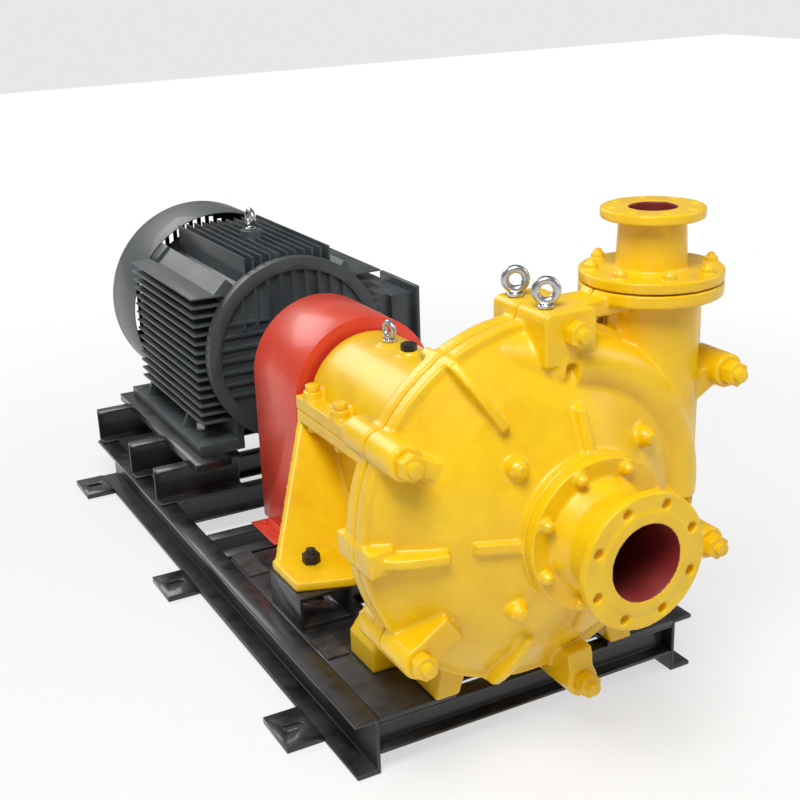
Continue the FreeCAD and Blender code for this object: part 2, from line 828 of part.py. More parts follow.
def impeller():
    half = chamber_half - impeller_play
    front = revolve_y([(pump_y(-half), impeller_eye_r), (pump_y(-half), impeller_r),
                       (pump_y(-half + shroud_t), impeller_r), (pump_y(-half + shroud_t), impeller_eye_r)])
    back = cyl_y(impeller_r, pump_y(half - shroud_t), pump_y(half))
    nose = Part.makeCone(impeller_hub_r - 34, impeller_hub_r, 26,
                         vec(0, pump_y(half - shroud_t - 26), shaft_height), along)
    pieces = [front, back, nose]
    r_in = impeller_eye_r - 12
    for i in range(vane_count):
        a0 = math.radians(360.0 * i / vane_count)
        a1 = a0 - math.radians(38)
        a2 = a0 - math.radians(70)
        r_mid = (r_in + impeller_r) / 2
        r_out = impeller_r - 1
        edge_out = [(r_in, a0), (r_mid, a1), (r_out, a2)]
        shift = vane_t / 2

        def spot(r, a, side):
            nx, nz = math.cos(a), math.sin(a)
            return vec(r * nx - side * shift * nz * 0.8 + side * shift * nx * 0.6, pump_y(-half + 1),
                       shaft_height + r * nz + side * shift * nx * 0.8 + side * shift * nz * 0.6)

        one = [spot(r, a, 0.0 if k == 2 else -1.0) for k, (r, a) in enumerate(edge_out)]
        two = [spot(r, a, 0.0 if k == 2 else 1.0) for k, (r, a) in enumerate(edge_out)]
        arc_a = Part.Arc(one[0], one[1], one[2]).toShape()
        arc_b = Part.Arc(two[2], two[1], two[0]).toShape()
        closing = Part.makeLine(two[0], one[0])
        edges = [arc_a]
        if (one[2] - two[2]).Length > 0.01:
            edges.append(Part.makeLine(one[2], two[2]))
        edges += [arc_b, closing]
        face = Part.Face(Part.Wire(edges))
        pieces.append(face.extrude(vec(0, 2 * half - 2, 0)))
    body = join(pieces)
    bore = cyl_y(shaft_nose_r + bore_play, pump_y(-4), pump_y(half + 1))
    save("impeller", [body.cut(bore)])


# ---- Suction and discharge stubs ----
def suction_stub():
    face = -suction_reach
    plate_front = -boss_face - suction_plate_t
    body = revolve_y([
        (pump_y(face), suction_bore_r), (pump_y(face), suction_face_r),
        (pump_y(face + suction_face_h), suction_face_r), (pump_y(face + suction_face_h), suction_flange_r),
        (pump_y(face + suction_flange_t), suction_flange_r),
        (pump_y(face + suction_flange_t), suction_neck_r),
        (pump_y(plate_front - suction_flare), suction_neck_r), (pump_y(plate_front), suction_root_r),
        (pump_y(plate_front), dome_end_r),
        (pump_y(-boss_face), dome_end_r), (pump_y(-boss_face), suction_bore_r),
    ])
    for x, z in ring_places(suction_pcd_r, suction_hole_count, 22.5):
        body = body.cut(cyl_y(suction_hole_r, pump_y(face - 1), pump_y(face + suction_flange_t + 1), x, z))
    nuts = []
    for x, z in ring_places(suction_stud_pcd_r, suction_stud_count, 22.5):
        nuts.append(hexagon(suction_nut, suction_nut_h, vec(x, pump_y(plate_front - suction_nut_h), z),
                            along))
        nuts.append(hexagon(suction_stud_r * 2, suction_nut_h + 8,
                            vec(x, pump_y(plate_front - suction_nut_h - 8), z), along))
    save("suction_stub", [join([body] + nuts)])


def discharge_stub():
    top = height(discharge_top)
    plate_top = height(discharge_plate_top)
    points = [
        (discharge_bore_r, top), (discharge_flange_r, top), (discharge_flange_r, top - discharge_flange_t),
        (discharge_neck_r, top - discharge_flange_t), (discharge_root_r, plate_top),
        (discharge_plate_r, plate_top),
        (discharge_plate_r, plate_top - discharge_plate_t), (discharge_bore_r, plate_top - discharge_plate_t),
    ]
    outline = [vec(discharge_x + r, split_y, z) for r, z in points]
    face = Part.Face(Part.makePolygon(outline + outline[:1]))
    body = face.revolve(vec(discharge_x, split_y, 0), up, 360)
    for i in range(discharge_hole_count):
        a = math.radians(360.0 * (i + 0.5) / discharge_hole_count)
        body = body.cut(cyl_z(discharge_hole_r, top - discharge_flange_t - 1, top + 1,
                              discharge_x + discharge_pcd_r * math.cos(a),
                              split_y + discharge_pcd_r * math.sin(a)))
    nuts = []
    for x, y in discharge_stud_places():
        nuts.append(hexagon(discharge_nut, discharge_nut_h, vec(x, y, plate_top), up))
        nuts.append(hexagon(discharge_stud_r * 2, discharge_nut_h + 9, vec(x, y, plate_top), up))
    save("discharge_stub", [join([body] + nuts)])
    low = plate_top - discharge_plate_t
    ring = cyl_z(discharge_stud_pcd_r - 16, low - gasket_t, low, discharge_x, split_y)
    ring = ring.cut(cyl_z(discharge_bore_r, low - gasket_t - 1, low + 1, discharge_x, split_y))
    save("discharge_gasket", [ring])


# ---- Fasteners of the casing ----
def clamp_bolts():
    bolts = []
    for i, (r, a) in enumerate(clamp_places):
        x, z = polar(r, a)
        front = -top_lug_depth if i == 0 else -clamp_reach
        rear = top_lug_rear if i == 0 else clamp_rear_reach
        shank = cyl_y(clamp_bolt_r, pump_y(front - clamp_stud_end), pump_y(rear), x, z)
        nut = hexagon(clamp_nut, clamp_nut_h, vec(x, pump_y(front - clamp_nut_h), z), along, a)
        head = hexagon(clamp_nut, clamp_head_h, vec(x, pump_y(rear), z), along, a)
        bolts.append(join([shank, nut, head]))
    save("clamp_bolts", bolts)


def eye_bolt(x, y, z, ring_r, wire_r, shank_r, turn):
    """Forged lifting eye, standing on its collar and shank."""
    centre = ring_r + wire_r + 5
    half = wire_r * 0.85
    ring = cyl_x(ring_r + wire_r, -half, half, 0,
                 centre).cut(cyl_x(ring_r - wire_r, -half - 1, half + 1, 0, centre))
    collar = cyl_z(eye_collar_r, 0, eye_collar_h)
    body = join([ring, collar, cyl_z(shank_r, -eye_shank_len, centre - ring_r)])
    body.rotate(vec(0, 0, 0), up, turn)
    body.translate(vec(x, y, z))
    return body


def lifting_eyes():
    top = height(top_lug_top)
    save("lifting_eye_bolts", [
        eye_bolt(top_eye_x, pump_y(-top_eye_y), top, eye_ring_r, eye_wire_r, eye_shank_r, top_eye_turn),
        eye_bolt(top_eye_x, pump_y(top_eye_rear_y), top, eye_ring_r, eye_wire_r, eye_shank_r, top_eye_turn),
        eye_bolt(0, pump_y(eye_y), height(housing_r + cap_eye_pad_h), cap_eye_ring_r, cap_eye_wire_r,
                 cap_eye_shank_r, cap_eye_turn),
        eye_bolt(0, motor_y(motor_eye_y), height(motor_eye_seat), motor_eye_ring_r, motor_eye_wire_r,
                 eye_shank_r, motor_eye_turn),
    ])


# ---- Shaft, sleeve and seal ----
def pump_shaft():
    end = coupling_start + coupling_len
    body = revolve_y([
        (pump_y(-4), 0), (pump_y(-4), shaft_nose_r), (pump_y(chamber_half + 3), shaft_nose_r),
        (pump_y(chamber_half + 3), sleeve_seat_r), (pump_y(sleeve_end), sleeve_seat_r),
        (pump_y(sleeve_end), bearing_seat_r), (pump_y(housing_rear + cover_t + 6), bearing_seat_r),
        (pump_y(housing_rear + cover_t + 6), shaft_end_r), (pump_y(end), shaft_end_r), (pump_y(end), 0),
    ])
    save("pump_shaft", [body])
    sleeve = tube_y(sleeve_r, sleeve_seat_r + bore_play, pump_y(chamber_half + 3), pump_y(sleeve_end))
    save("shaft_sleeve", [sleeve])


def stuffing_box():
    body = revolve_y([
        (pump_y(chamber_half + 4), sleeve_r + 2), (pump_y(chamber_half + 4), box_r),
        (pump_y(rear_face), box_r),
        (pump_y(rear_face), box_flange_r), (pump_y(rear_face + box_flange_t), box_flange_r),
        (pump_y(rear_face + box_flange_t), box_r), (pump_y(box_end), box_r), (pump_y(box_end), packing_r),
        (pump_y(box_throat), packing_r), (pump_y(box_throat), sleeve_r + 2),
    ])
    studs = []
    nuts = []
    nut_face = box_end + gland_air + gland_t
    for side in (-1, 1):
        x = side * gland_stud_x
        body = body.cut(cyl_y(gland_stud_r + fit_gap, pump_y(box_end - gland_stud_in - 2),
                              pump_y(box_end + 1), x))
        studs.append(cyl_y(gland_stud_r, pump_y(box_end - gland_stud_in),
                           pump_y(nut_face + gland_nut_h + gland_travel + 4), x))
        nut = hexagon(gland_nut, gland_nut_h, vec(x, pump_y(nut_face), shaft_height), along)
        nuts.append(nut.cut(cyl_y(gland_stud_r + fit_gap, pump_y(nut_face - 1),
                                  pump_y(nut_face + gland_nut_h + 1), x)))
    save("stuffing_box", [body])
    save("gland_studs", studs)
    save("gland_nuts", nuts)
    inner = sleeve_r + bore_play
    outer = packing_r - fit_gap
    y = box_throat + packing_len
    save("packing_rings", [tube_y(outer, inner, pump_y(box_throat), pump_y(y))])
    plate = box_end + gland_air
    gland = tube_y(outer, sleeve_r + 2, pump_y(y), pump_y(plate + gland_t))
    oval = cyl_y(box_r - 22, pump_y(plate), pump_y(plate + gland_t)).cut(
        cyl_y(outer - 1, pump_y(plate - 1), pump_y(plate + gland_t + 1)))
    ear = gland_stud_x + gland_ear_end
    ears = block(-ear, ear, pump_y(plate), pump_y(plate + gland_t), height(-gland_ear_half),
                 height(gland_ear_half))
    ears = ears.cut(cyl_y(outer - 1, pump_y(plate - 1), pump_y(plate + gland_t + 1)))
    gland = join([gland, oval, ears])
    for side in (-1, 1):
        gland = gland.cut(cyl_y(gland_stud_r + 1, pump_y(plate - 1), pump_y(plate + gland_t + 1),
                                side * gland_stud_x))
    save("gland", [gland])


# ---- Bearing bracket ----
def bracket_hollow():
    return cyl_y(housing_bore_r, pump_y(housing_front - 1), pump_y(housing_rear + 1))


def cap_bolt_spots():
    return [(side * cap_bolt_x, pump_y(y)) for side in (-1, 1) for y in cap_bolt_ys]


def bracket_body():
    split = height(0)
    under = height(-flange_down)
    foot_top = height(-foot_drop + foot_t)
    barrel = cyl_y(housing_r, pump_y(housing_front), pump_y(housing_rear))
    flange = block(-flange_half, flange_half, pump_y(housing_front - 200), pump_y(housing_rear), under, split)
    wall = [vec(-foot_half + 7, pump_y(foot_rear - leg_t), foot_top),
            vec(foot_half - 7, pump_y(foot_rear - leg_t), foot_top),
            vec(flange_half, pump_y(housing_rear - leg_t), under),
            vec(-flange_half, pump_y(housing_rear - leg_t), under)]
    leg = Part.Face(Part.makePolygon(wall + wall[:1])).extrude(vec(0, leg_t, 0))
    box = prism_x([(pump_y(foot_front), foot_top), (pump_y(foot_rear - 2), foot_top),
                   (pump_y(housing_rear - 2), under), (pump_y(housing_front), under)], -body_half, body_half)
    outline = [(-foot_half, pump_y(foot_rear)), (-foot_half, pump_y(foot_front + foot_corner_y)),
               (-foot_half + foot_corner, pump_y(foot_front)), (foot_half - foot_corner, pump_y(foot_front)),
               (foot_half, pump_y(foot_front + foot_corner_y)), (foot_half, pump_y(foot_rear))]
    sole = prism_z(outline, height(-foot_drop), foot_top)
    trough = tube_y(housing_r, housing_r - 20, pump_y(rear_face), pump_y(housing_front))
    ring = cyl_y(adapter_r, pump_y(rear_face), pump_y(rear_face + adapter_t))
    body = join([barrel, flange, box, trough]).common(level_half(-1))
    body = join([body, leg, sole, ring])
    cavity = prism_x([(pump_y(foot_front + 18), foot_top - 1), (pump_y(foot_rear - leg_t - 20), foot_top - 1),
                      (pump_y(housing_rear - 90), height(-housing_r)),
                      (pump_y(housing_front + 18), height(-housing_r))],
                     -body_half + 18, body_half - 18)
    body = body.cut(cavity)
    body = body.cut(bracket_hollow())
    body = body.cut(cyl_y(housing_r - 20, pump_y(rear_face - 1), pump_y(housing_front)))
    for x, y in cap_bolt_spots():
        body = body.cut(cyl_z(cap_bolt_r + fit_gap, under - 1, split + 1, x, y))
    for side in (-1, 1):
        body = body.cut(cyl_z(foot_bolt_r + 1, height(-foot_drop) - 1, foot_top + 1, side * foot_bolt_x,
                              pump_y(foot_bolt_y)))
    save("bearing_bracket", [body])


def bearing_cap():
    split = height(0)
    barrel = cyl_y(housing_r, pump_y(housing_front), pump_y(housing_rear))
    flange = block(-flange_half, flange_half, pump_y(housing_front), pump_y(housing_rear), split,
                   height(flange_up))
    pieces = [barrel, flange]
    for x, y in cap_bolt_spots():
        pieces.append(cyl_z(cap_boss_r, split, height(cap_boss_h), x, y))
    pieces.append(cyl_z(cap_eye_pad_r, height(housing_bore_r), height(housing_r + cap_eye_pad_h), 0,
                        pump_y(eye_y)))
    pieces.append(cyl_z(breather_pad_r, height(housing_bore_r), height(housing_r + breather_pad_h), 0,
                        pump_y(breather_y)))
    body = join(pieces).common(level_half(1)).cut(bracket_hollow())
    for x, y in cap_bolt_spots():
        body = body.cut(cyl_z(cap_bolt_r + fit_gap, split - 1, height(cap_boss_h) + 1, x, y))
    body = body.cut(cyl_z(cap_eye_shank_r + fit_gap, height(housing_r + 4 - eye_shank_len),
                          height(housing_r + 6), 0, pump_y(eye_y)))
    body = body.cut(cyl_z(breather_r + fit_gap, height(housing_bore_r - 4), height(housing_r + 10), 0,
                          pump_y(breather_y)))
    save("bearing_cap", [body])
    top = height(housing_r + breather_pad_h)
    plug = cyl_z(breather_r, top - breather_plug_in, top + 1, 0, pump_y(breather_y))
    cap = hexagon(breather_hex, breather_hex_h, vec(0, pump_y(breather_y), top), up)
    save("breather_cap", [join([plug, cap])])


def bracket_fasteners():
    bolts = []
    for x, y in cap_bolt_spots():
        head_z = height(cap_boss_h)
        shank = cyl_z(cap_bolt_r, height(-flange_down) - cap_bolt_end, head_z, x, y)
        head = hexagon(cap_bolt_hex, cap_head_h, vec(x, y, head_z), up)
        nut = hexagon(cap_bolt_hex, cap_nut_h, vec(x, y, height(-flange_down) - cap_nut_h), up)
        bolts.append(join([shank, head, nut]))
    save("cap_bolts", bolts)
    feet = []
    for side in (-1, 1):
        x = side * foot_bolt_x
        y = pump_y(foot_bolt_y)
        top = height(-foot_drop + foot_t)
        shank = cyl_z(foot_bolt_r, height(-foot_drop) - foot_bolt_drop, top + foot_stud_end, x, y)
        nut = hexagon(foot_nut, foot_nut_h, vec(x, y, top), up)
        head = hexagon(foot_head, foot_head_h, vec(x, y, height(-foot_drop) - foot_head_drop), up)
        feet.append(join([shank, nut, head]))
    save("bracket_foot_bolts", feet)


def bearings():
    places = (housing_front + bearing_inset, housing_rear - bearing_inset - bearing_t)
    rings = [tube_y(housing_bore_r - bore_play, bearing_seat_r + bore_play, pump_y(y),
                    pump_y(y + bearing_t)) for y in places]
    save("bearings", rings)
    front = tube_y(cover_r, bearing_seat_r + bore_play, pump_y(housing_front - cover_t),
                   pump_y(housing_front))
    rear = tube_y(cover_r, bearing_seat_r + bore_play, pump_y(housing_rear), pump_y(housing_rear + cover_t))
    save("bearing_end_covers", [front, rear])


# ---- Coupling ----
def coupling():
    end = coupling_start + coupling_len
    pump_half = revolve_y([
        (pump_y(coupling_start), shaft_end_r + bore_play), (pump_y(coupling_start), coupling_hub_r),
        (pump_y(end - pump_flange_t), coupling_hub_r), (pump_y(end - pump_flange_t), coupling_r),
        (pump_y(end), coupling_r), (pump_y(end), shaft_end_r + bore_play),
    ])
    start = end + coupling_gap
    motor_half = revolve_y([
        (pump_y(start), motor_shaft_r + bore_play), (pump_y(start), coupling_r),
        (pump_y(start + motor_flange_t), coupling_r), (pump_y(start + motor_flange_t), coupling_hub_r),
        (pump_y(start + coupling_len), coupling_hub_r),
        (pump_y(start + coupling_len), motor_shaft_r + bore_play),
    ])
    pins = []
    for x, z in ring_places(pin_pcd_r, pin_count, 0.0):
        pump_half = pump_half.cut(cyl_y(pin_r + bore_play, pump_y(end - pump_flange_t - 1), pump_y(end + 1),
                                        x, z))
        motor_half = motor_half.cut(cyl_y(bush_r + fit_gap, pump_y(start - 1),
                                          pump_y(start + motor_flange_t + 1), x, z))
        shank = cyl_y(pin_r, pump_y(end - pump_flange_t - pin_nut_h), pump_y(start + motor_flange_t), x, z)
        buffer = cyl_y(bush_r, pump_y(start + 2), pump_y(start + motor_flange_t - 4), x, z)
        nut = hexagon(pin_nut, pin_nut_h, vec(x, pump_y(end - pump_flange_t - pin_nut_h), z), along)
        pins.append(join([shank, buffer, nut]))
    save("pump_coupling_half", [pump_half])
    save("motor_coupling_half", [motor_half])
    save("coupling_pins", pins)


# ---- Guard ----
def arch(half, y0, y1):
    """Upright U: a half round on two legs that reach the base top."""
    return cyl_y(half, y0, y1).fuse(block(-half, half, y0, y1, base_height, shaft_height)).removeSplitter()


def coupling_guard():
    front, rear = pump_y(guard_front), pump_y(guard_rear)
    beyond = 2 * shaft_height
    shell = arch(guard_half, front, rear)
    shell = shell.common(block(-beyond, beyond, front, rear, base_height, beyond))
    inner = arch(guard_half - guard_t, front + guard_t, rear + 1)
    inner = inner.common(block(-beyond, beyond, front, rear + 1, base_height - 1, beyond))
    shell = shell.cut(inner)
    shell = shell.cut(block(-guard_half, guard_half, front, rear + 1, base_height - 1, base_height))
    shell = shell.cut(arch(guard_opening_r, front - 1, front + guard_t + 1))
    foot_front, foot_rear = pump_y(guard_foot_front), pump_y(guard_foot_rear)
    foot = block(guard_half - guard_t, guard_half + guard_foot, foot_front, foot_rear, base_height,
                 base_height + guard_t)
    x = guard_half + guard_foot / 2
    heads = [hexagon(guard_bolt, guard_bolt_h, vec(x, y, base_height + guard_t), up)
             for y in (foot_rear - guard_bolt_in, foot_front + guard_bolt_in)]
    foot = join([foot] + heads)
    save("coupling_guard", [join([shell, foot, mirror_x(foot)])])


# ---- Motor ----
def fins(front, rear):
    """Cooling ribs along the frame: upright ones on the top, level ones on the sides."""
    plates = []
    for i in range(top_fin_count):
        x = (i - (top_fin_count - 1) / 2) * fin_pitch
        plates.append(block(x - fin_t / 2, x + fin_t / 2, front, rear, height(fin_root), height(fin_top)))
    for i in range(side_fin_count):
        z = (i - (side_fin_count - 1) / 2) * fin_pitch
        plate = block(fin_root - 50, fin_side, front, rear, height(z - fin_t / 2), height(z + fin_t / 2))
        plates += [plate, mirror_x(plate)]
    return plates


def motor_feet():
    """Both feet, each a sole with an upright web and two gussets, kept clear of the fan cover."""
    low = height(-motor_height)
    high = low + motor_foot_t
    web_top = height(-motor_foot_in * 0.66)
    y0 = motor_y(motor_foot_front - motor_foot_ahead)
    y1 = motor_y(motor_foot_front + motor_foot_pitch + motor_foot_behind)
    cover = motor_y(fan_cover_front) - fan_cover_gap
    sole = block(motor_foot_in, motor_foot_out, y0, y1, low, high)
    sole = sole.cut(cyl_y(fan_cover_r + fan_cover_gap, cover, y1 + 1))
    web = prism_y([(motor_foot_in, low), (motor_foot_in + 20, low), (motor_foot_in + 20, web_top - 15),
                   (motor_foot_in, web_top + 15)], y0, cover)
    pieces = [sole, web]
    first, last = motor_foot_ys()
    for y in (first + foot_rib_in, last - foot_rib_in - foot_rib_t):
        pieces.append(prism_y([(motor_foot_in, low), (motor_foot_out - 14, high),
                               (motor_foot_in + 62, web_top - 15),
                               (motor_foot_in, web_top + 15)], y, y + foot_rib_t))
    foot = join(pieces)
    for y in motor_foot_ys():
        foot = foot.cut(cyl_z(motor_foot_bolt_r + 1, low - 1, high + 1, motor_foot_x, y))
    return [foot, mirror_x(foot)]


def motor_frame():
    front = motor_y(motor_face + motor_ring_t)
    cover = motor_y(fan_cover_front)
    rear = cover + 2
    pieces = [cyl_y(motor_body_r, front, rear)]
    pieces += fins(front + 6, rear - 6)
    inside_cover = cyl_y(fan_cover_r - fan_cover_t - fit_gap, rear - 60, cover + cover_lug_in)
    for angle in (45, 135, 225, 315):
        lug = block(motor_body_r - 25, fan_cover_r, rear - 60, cover + cover_lug_in, height(-30), height(30))
        pieces.append(turned(lug, angle).common(inside_cover))
        if angle < 180:
            pad = block(motor_body_r - 25, motor_body_r + 52, front + 20, rear - 20, height(-30), height(30))
            pieces.append(turned(pad, angle))
    pieces += motor_feet()
    pieces.append(block(motor_body_r - 46, box_x0 + 2, motor_y(box_y0 + 16), motor_y(box_y1 - 40),
                        height(-box_neck_drop), height(box_high + 2)))
    eye_y_place = motor_y(motor_eye_y)
    pieces.append(cyl_z(motor_eye_boss_r, height(fin_root), height(motor_eye_seat), 0, eye_y_place))
    body = join(pieces).cut(cyl_y(motor_journal_r + bore_play, front - 1, rear + 1))
    eye_hole = cyl_z(eye_shank_r + fit_gap, height(motor_eye_seat) - eye_shank_len - 1,
                     height(motor_eye_seat) + 1,
                     0, eye_y_place)
    save("motor_frame", [body.cut(eye_hole)])


def drive_end_shield():
    front = motor_y(motor_face)
    back = front + motor_ring_t
    floor = front + shield_recess
    nose = motor_y(motor_shoulder) + 4
    bore = motor_journal_r + bore_play
    shield = revolve_y([
        (nose, bore), (nose, motor_hub_r), (floor, motor_hub_r), (floor, motor_ring_in_r),
        (front, motor_ring_in_r), (front, motor_ring_r), (back, motor_ring_r), (back, bore),
    ])
    within = cyl_y(motor_ring_in_r + 8, front, back)
    half = shield_rib_t / 2
    ribs = []
    for i in range(-4, 5):
        x = i * shield_rib_pitch
        ribs.append(block(x - half, x + half, front + 4, floor, height(motor_hub_r - 12),
                          height(motor_ring_r)))
    for i in range(-3, 4):
        z = i * shield_rib_pitch * 0.9
        level = block(motor_hub_r - 12, motor_ring_r, front + 4, floor, height(z - half), height(z + half))
        ribs += [level, mirror_x(level)]
    save("drive_end_shield", [join([shield] + [r.common(within) for r in ribs])])


def motor_rotor():
    shoulder = motor_y(motor_shoulder)
    tip = shoulder - motor_shaft_len
    step = motor_y(fan_cover_front) + 10
    fan_front = motor_y(fan_y)
    fan_rear = fan_front + fan_depth
    save("motor_shaft", [revolve_y([
        (tip, 0), (tip, motor_shaft_r), (shoulder, motor_shaft_r), (shoulder, motor_journal_r),
        (step, motor_journal_r), (step, fan_seat_r), (fan_rear + 5, fan_seat_r), (fan_rear + 5, 0),
    ])])
    hub = tube_y(fan_hub_r, fan_seat_r + bore_play, fan_front, fan_rear)
    pieces = [hub, tube_y(fan_r, fan_hub_r - 1, fan_front, fan_front + 5)]
    for i in range(fan_blade_count):
        blade = block(fan_hub_r - 5, fan_r - 5, fan_front + 2, fan_rear, height(-3), height(3))
        pieces.append(turned(blade, 360.0 * i / fan_blade_count))
    save("cooling_fan", [join(pieces)])


def fan_cover():
    """Pressed cover: a drum whose rear corner is turned in two steps, and a slotted end."""
    front = motor_y(fan_cover_front)
    rear = motor_y(fan_cover_rear)

    def pressing(radius, corner, y0, y1):
        bend = corner * (1 - math.sqrt(0.5))
        return revolve_y([(y0, 0), (y0, radius), (y1 - corner, radius), (y1 - bend, radius - bend),
                          (y1, radius - corner), (y1, 0)])

    shell = pressing(fan_cover_r, fan_cover_corner, front, rear)
    inside = pressing(fan_cover_r - fan_cover_t, fan_cover_corner - fan_cover_t, front - 1,
                      rear - fan_cover_t)
    shell = shell.cut(inside)
    for i in range(grille_slots):
        x = (i - (grille_slots - 1) / 2) * grille_pitch
        half = math.sqrt(grille_r ** 2 - x ** 2)
        shell = shell.cut(block(x - grille_slot_w / 2, x + grille_slot_w / 2, rear - fan_cover_t - 1,
                                rear + 1,
                                height(-half), height(half)))
    save("fan_cover", [shell])


def terminal_box():
    y0, y1 = motor_y(box_y0), motor_y(box_y1)
    low, high = height(box_low), height(box_high)
    body = block(box_x0 + 2, box_x1, y0, y1, low, high)
    body = body.cut(block(box_x0 + 2 + box_wall, box_x1 + 1, y0 + box_wall, y1 - box_wall, low + box_wall,
                          high - box_wall))
    save("terminal_box", [body])
    lid = block(box_x1, box_x1 + lid_t, y0 - lid_edge, y1 + lid_edge, low - lid_edge, high + lid_edge)
    save("terminal_box_lid", [lid])


def motor_bolts():
    bolts = []
    foot_low = height(-motor_height)
    top = foot_low + motor_foot_t
    under = foot_low - bar_h
    for side in (-1, 1):
        for y in motor_foot_ys():
            x = side * motor_foot_x
            shank = cyl_z(motor_foot_bolt_r, under - motor_nut_h, top + 34, x, y)
            nut = hexagon(motor_nut, motor_nut_h, vec(x, y, top + 4), up)
            washer = cyl_z(motor_washer_r, top, top + 4, x, y)
            head = hexagon(motor_nut, motor_nut_h - 4, vec(x, y, under - motor_nut_h + 4), up)
            bolts.append(join([shank, washer, nut, head]))
    save("motor_foot_bolts", bolts)


def main():
    base_parts()
    motor_supports()
    stool = pedestal()
    save("bracket_pedestals", [stool, mirror_x(stool)])
    hollow = casing_hollow(0.0)
    casing_front(hollow)
    casing_rear(hollow)
    liners()
    impeller()
    suction_stub()
    discharge_stub()
    clamp_bolts()
    lifting_eyes()
    pump_shaft()
    stuffing_box()
    bracket_body()
    bearing_cap()
    bracket_fasteners()
    bearings()
    coupling()
    coupling_guard()
    motor_frame()
    drive_end_shield()
    motor_rotor()
    fan_cover()
    terminal_box()
    motor_bolts()


main()
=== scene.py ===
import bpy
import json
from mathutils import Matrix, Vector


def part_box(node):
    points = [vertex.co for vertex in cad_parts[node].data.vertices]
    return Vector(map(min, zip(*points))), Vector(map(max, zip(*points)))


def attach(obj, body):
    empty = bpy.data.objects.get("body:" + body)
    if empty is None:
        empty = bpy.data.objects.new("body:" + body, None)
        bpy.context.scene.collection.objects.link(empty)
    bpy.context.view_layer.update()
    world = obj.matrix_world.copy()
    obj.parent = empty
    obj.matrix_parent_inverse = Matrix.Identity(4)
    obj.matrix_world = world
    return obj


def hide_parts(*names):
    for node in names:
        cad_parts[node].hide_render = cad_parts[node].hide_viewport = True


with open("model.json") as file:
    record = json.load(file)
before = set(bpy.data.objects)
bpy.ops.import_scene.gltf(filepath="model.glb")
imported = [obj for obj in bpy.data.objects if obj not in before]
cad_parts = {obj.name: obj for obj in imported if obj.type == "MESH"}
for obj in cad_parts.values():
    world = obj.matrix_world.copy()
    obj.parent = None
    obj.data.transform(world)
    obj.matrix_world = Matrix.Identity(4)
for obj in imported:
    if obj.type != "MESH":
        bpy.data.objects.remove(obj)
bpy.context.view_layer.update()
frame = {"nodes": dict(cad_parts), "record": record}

import json
import math
import bmesh
import bpy
import numpy as np
from mathutils import Matrix, Vector

scene = bpy.context.scene
record = frame["record"]
bodyOf = {node: body for body, members in record["behaviour"]["bodies"].items() for node in members}


# meshes from arrays

def gridFaces(rows, columns, wrapRows=False, wrapColumns=False, offset=0):
    # quads of a rows x columns grid of points, counted row by row
    r = np.arange(rows if wrapRows else rows - 1)
    c = np.arange(columns if wrapColumns else columns - 1)
    a = (r[:, None] * columns + c[None, :]).ravel()
    b = (r[:, None] * columns + (c[None, :] + 1) % columns).ravel()
    d = (((r[:, None] + 1) % rows) * columns + c[None, :]).ravel()
    e = (((r[:, None] + 1) % rows) * columns + (c[None, :] + 1) % columns).ravel()
    return np.stack([a, b, e, d], axis=1) + offset


def meshPiece(name, points, faces, material, body, smoothAngle=35.0):
    mesh = bpy.data.meshes.new(name)
    mesh.from_pydata(np.asarray(points, float).reshape(-1, 3).tolist(), [], [list(f) for f in faces])
    mesh.validate()
    return finishMesh(name, mesh, material, body, smoothAngle)


def finishMesh(name, mesh, material, body, smoothAngle):
    work = bmesh.new()
    work.from_mesh(mesh)
    bmesh.ops.remove_doubles(work, verts=work.verts, dist=1e-6)
    bmesh.ops.recalc_face_normals(work, faces=work.faces)
    work.to_mesh(mesh)
    work.free()
    mesh.shade_smooth()
    mesh.set_sharp_from_angle(angle=math.radians(smoothAngle))
    mesh.materials.clear()
    mesh.materials.append(material)
    piece = bpy.data.objects.new(name, mesh)
    scene.collection.objects.link(piece)
    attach(piece, body)
    return piece


def applyModifiers(piece):
    # bakes the modifiers into the mesh so that the piece is plain
    graph = bpy.context.evaluated_depsgraph_get()
    mesh = bpy.data.meshes.new_from_object(piece.evaluated_get(graph))
    old = piece.data
    piece.modifiers.clear()
    piece.data = mesh
    bpy.data.meshes.remove(old)


def cleanCopy(node, dissolve=True):
    # a merged copy of a CAD node's mesh, with flat areas joined to single faces
    mesh = frame["nodes"][node].data.copy()
    work = bmesh.new()
    work.from_mesh(mesh)
    bmesh.ops.remove_doubles(work, verts=work.verts, dist=2e-5)
    if dissolve:
        bmesh.ops.dissolve_limit(work, angle_limit=math.radians(0.6), verts=work.verts, edges=work.edges)
    bmesh.ops.recalc_face_normals(work, faces=work.faces)
    work.to_mesh(mesh)
    work.free()
    return mesh


def dressNode(node, material, bevel=0.0015, segments=2, angle=32.0):
    # the node again with its edges rounded
    mesh = cleanCopy(node)
    mesh.materials.clear()
    mesh.materials.append(material)
    piece = bpy.data.objects.new(node + "_dressed", mesh)
    scene.collection.objects.link(piece)
    if bevel > 0:
        rounding = piece.modifiers.new("rounding", "BEVEL")
        rounding.width = bevel
        rounding.segments = segments
        rounding.limit_method = "ANGLE"
        rounding.angle_limit = math.radians(angle)
        rounding.use_clamp_overlap = True
        rounding.harden_normals = False
        applyModifiers(piece)
    piece.data.shade_smooth()
    piece.data.set_sharp_from_angle(angle=math.radians(angle + 6))
    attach(piece, bodyOf[node])
    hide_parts(node)
    return piece


